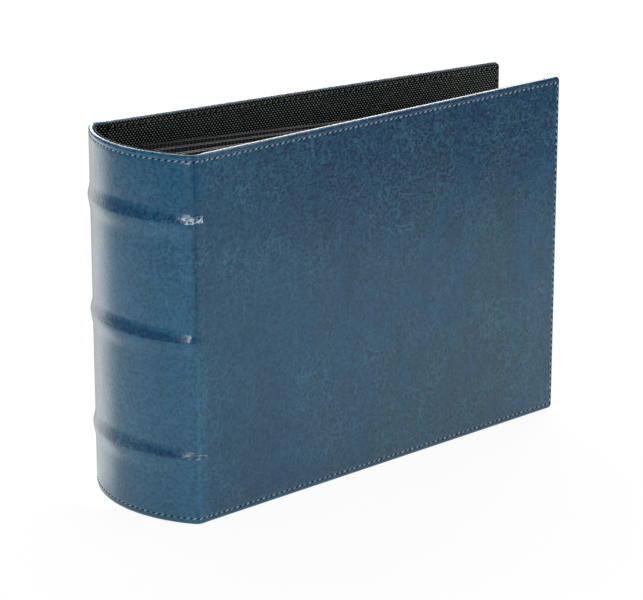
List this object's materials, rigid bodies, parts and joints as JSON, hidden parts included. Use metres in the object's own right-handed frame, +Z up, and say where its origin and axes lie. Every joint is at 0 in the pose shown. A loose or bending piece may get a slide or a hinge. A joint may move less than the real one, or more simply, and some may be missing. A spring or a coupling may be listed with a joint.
{
  "type": "stamp album",
  "caption": "Landscape stamp album: blue leather covers and a rounded, banded spine hold black leaves with clear strips on cloth guards.",
  "frame": {"origin": "middle of the bounding box at the tail edge the album stands on", "axes": "+X from the spine to the fore-edge, +Y from the front cover to the rear cover, +Z up to the head"},
  "size_m": [0.263, 0.085, 0.18],
  "materials": {
    "blue_leather": "satin, mottled pull-up grain",
    "binders_board": "matt grey board",
    "black_lining": "matt woven cloth with a fine dot",
    "blue_thread": "waxed thread",
    "black_thread": "waxed thread",
    "cord": "twisted cord",
    "binding_cloth": "woven cloth",
    "sewing_thread": "linen thread",
    "black_leaf": "matt black leaf",
    "clear_film": "clear glossy film"
  },
  "bodies": {
    "spine": {"spine_leather": "blue_leather", "spine_card": "binders_board", "spine_lining": "black_lining", "spine_band_lower": "cord", "spine_band_middle": "cord", "spine_band_upper": "cord", "spine_needle_thread": "blue_thread", "spine_bobbin_thread": "black_thread", "binding_cloth": "binding_cloth", "guard_threads": "sewing_thread", "guard_1": "binding_cloth", "guard_2": "binding_cloth", "guard_3": "binding_cloth", "guard_4": "binding_cloth", "guard_5": "binding_cloth", "guard_6": "binding_cloth", "front_joint_leather": "blue_leather", "front_joint_lining": "black_lining", "rear_joint_leather": "blue_leather", "rear_joint_lining": "black_lining"},
    "front_cover": {"front_leather": "blue_leather", "front_board": "binders_board", "front_lining": "black_lining", "front_needle_thread": "blue_thread", "front_bobbin_thread": "black_thread"},
    "rear_cover": {"rear_leather": "blue_leather", "rear_board": "binders_board", "rear_lining": "black_lining", "rear_needle_thread": "blue_thread", "rear_bobbin_thread": "black_thread"},
    "leaf_01": {"leaf_01": "black_leaf", "leaf_01_strips": "clear_film"},
    "leaf_02": {"leaf_02": "black_leaf", "leaf_02_strips": "clear_film"},
    "leaf_03": {"leaf_03": "black_leaf", "leaf_03_strips": "clear_film"},
    "leaf_04": {"leaf_04": "black_leaf", "leaf_04_strips": "clear_film"},
    "leaf_05": {"leaf_05": "black_leaf", "leaf_05_strips": "clear_film"},
    "leaf_06": {"leaf_06": "black_leaf", "leaf_06_strips": "clear_film"},
    "leaf_07": {"leaf_07": "black_leaf", "leaf_07_strips": "clear_film"},
    "leaf_08": {"leaf_08": "black_leaf", "leaf_08_strips": "clear_film"},
    "leaf_09": {"leaf_09": "black_leaf", "leaf_09_strips": "clear_film"},
    "leaf_10": {"leaf_10": "black_leaf", "leaf_10_strips": "clear_film"},
    "leaf_11": {"leaf_11": "black_leaf", "leaf_11_strips": "clear_film"},
    "leaf_12": {"leaf_12": "black_leaf", "leaf_12_strips": "clear_film"}
  },
  "joints": [
    {"name": "front_cover_hinge", "type": "hinge", "parent": "spine", "child": "front_cover", "pos_m": [-0.11134, -0.04225, 0], "axis": [0, 0, -1], "range_deg": [0, 180], "deforming": ["front_joint_leather", "front_joint_lining"]},
    {"name": "rear_cover_hinge", "type": "hinge", "parent": "spine", "child": "rear_cover", "pos_m": [-0.11134, 0.04225, 0], "axis": [0, 0, 1], "range_deg": [0, 180], "deforming": ["rear_joint_leather", "rear_joint_lining"]},
    {"name": "leaf_01_hinge", "type": "hinge", "parent": "spine", "child": "leaf_01", "pos_m": [-0.09483, -0.0312, 0], "axis": [0, 0, -1], "range_deg": [0, 111.6]},
    {"name": "leaf_02_hinge", "type": "hinge", "parent": "spine", "child": "leaf_02", "pos_m": [-0.09483, -0.0288, 0], "axis": [0, 0, -1], "range_deg": [0, 68.4]},
    {"name": "leaf_03_hinge", "type": "hinge", "parent": "spine", "child": "leaf_03", "pos_m": [-0.09483, -0.0192, 0], "axis": [0, 0, -1], "range_deg": [0, 55.8]},
    {"name": "leaf_04_hinge", "type": "hinge", "parent": "spine", "child": "leaf_04", "pos_m": [-0.09483, -0.0168, 0], "axis": [0, 0, -1], "range_deg": [0, 43.2]},
    {"name": "leaf_05_hinge", "type": "hinge", "parent": "spine", "child": "leaf_05", "pos_m": [-0.09483, -0.0072, 0], "axis": [0, 0, -1], "range_deg": [0, 28.8]},
    {"name": "leaf_06_hinge", "type": "hinge", "parent": "spine", "child": "leaf_06", "pos_m": [-0.09483, -0.0048, 0], "axis": [0, 0, -1], "range_deg": [0, 14.4]},
    {"name": "leaf_07_hinge", "type": "hinge", "parent": "spine", "child": "leaf_07", "pos_m": [-0.09483, 0.0048, 0], "axis": [0, 0, 1], "range_deg": [0, 14.4]},
    {"name": "leaf_08_hinge", "type": "hinge", "parent": "spine", "child": "leaf_08", "pos_m": [-0.09483, 0.0072, 0], "axis": [0, 0, 1], "range_deg": [0, 28.8]},
    {"name": "leaf_09_hinge", "type": "hinge", "parent": "spine", "child": "leaf_09", "pos_m": [-0.09483, 0.0168, 0], "axis": [0, 0, 1], "range_deg": [0, 43.2]},
    {"name": "leaf_10_hinge", "type": "hinge", "parent": "spine", "child": "leaf_10", "pos_m": [-0.09483, 0.0192, 0], "axis": [0, 0, 1], "range_deg": [0, 55.8]},
    {"name": "leaf_11_hinge", "type": "hinge", "parent": "spine", "child": "leaf_11", "pos_m": [-0.09483, 0.0288, 0], "axis": [0, 0, 1], "range_deg": [0, 68.4]},
    {"name": "leaf_12_hinge", "type": "hinge", "parent": "spine", "child": "leaf_12", "pos_m": [-0.09483, 0.0312, 0], "axis": [0, 0, 1], "range_deg": [0, 111.6]}
  ],
  "couplings": [
    {"joint": "leaf_01_hinge", "follows": "front_cover_hinge", "ratio": 0.62},
    {"joint": "leaf_02_hinge", "follows": "front_cover_hinge", "ratio": 0.38},
    {"joint": "leaf_03_hinge", "follows": "front_cover_hinge", "ratio": 0.31},
    {"joint": "leaf_04_hinge", "follows": "front_cover_hinge", "ratio": 0.24},
    {"joint": "leaf_05_hinge", "follows": "front_cover_hinge", "ratio": 0.16},
    {"joint": "leaf_06_hinge", "follows": "front_cover_hinge", "ratio": 0.08},
    {"joint": "leaf_07_hinge", "follows": "rear_cover_hinge", "ratio": 0.08},
    {"joint": "leaf_08_hinge", "follows": "rear_cover_hinge", "ratio": 0.16},
    {"joint": "leaf_09_hinge", "follows": "rear_cover_hinge", "ratio": 0.24},
    {"joint": "leaf_10_hinge", "follows": "rear_cover_hinge", "ratio": 0.31},
    {"joint": "leaf_11_hinge", "follows": "rear_cover_hinge", "ratio": 0.38},
    {"joint": "leaf_12_hinge", "follows": "rear_cover_hinge", "ratio": 0.62}
  ]
}
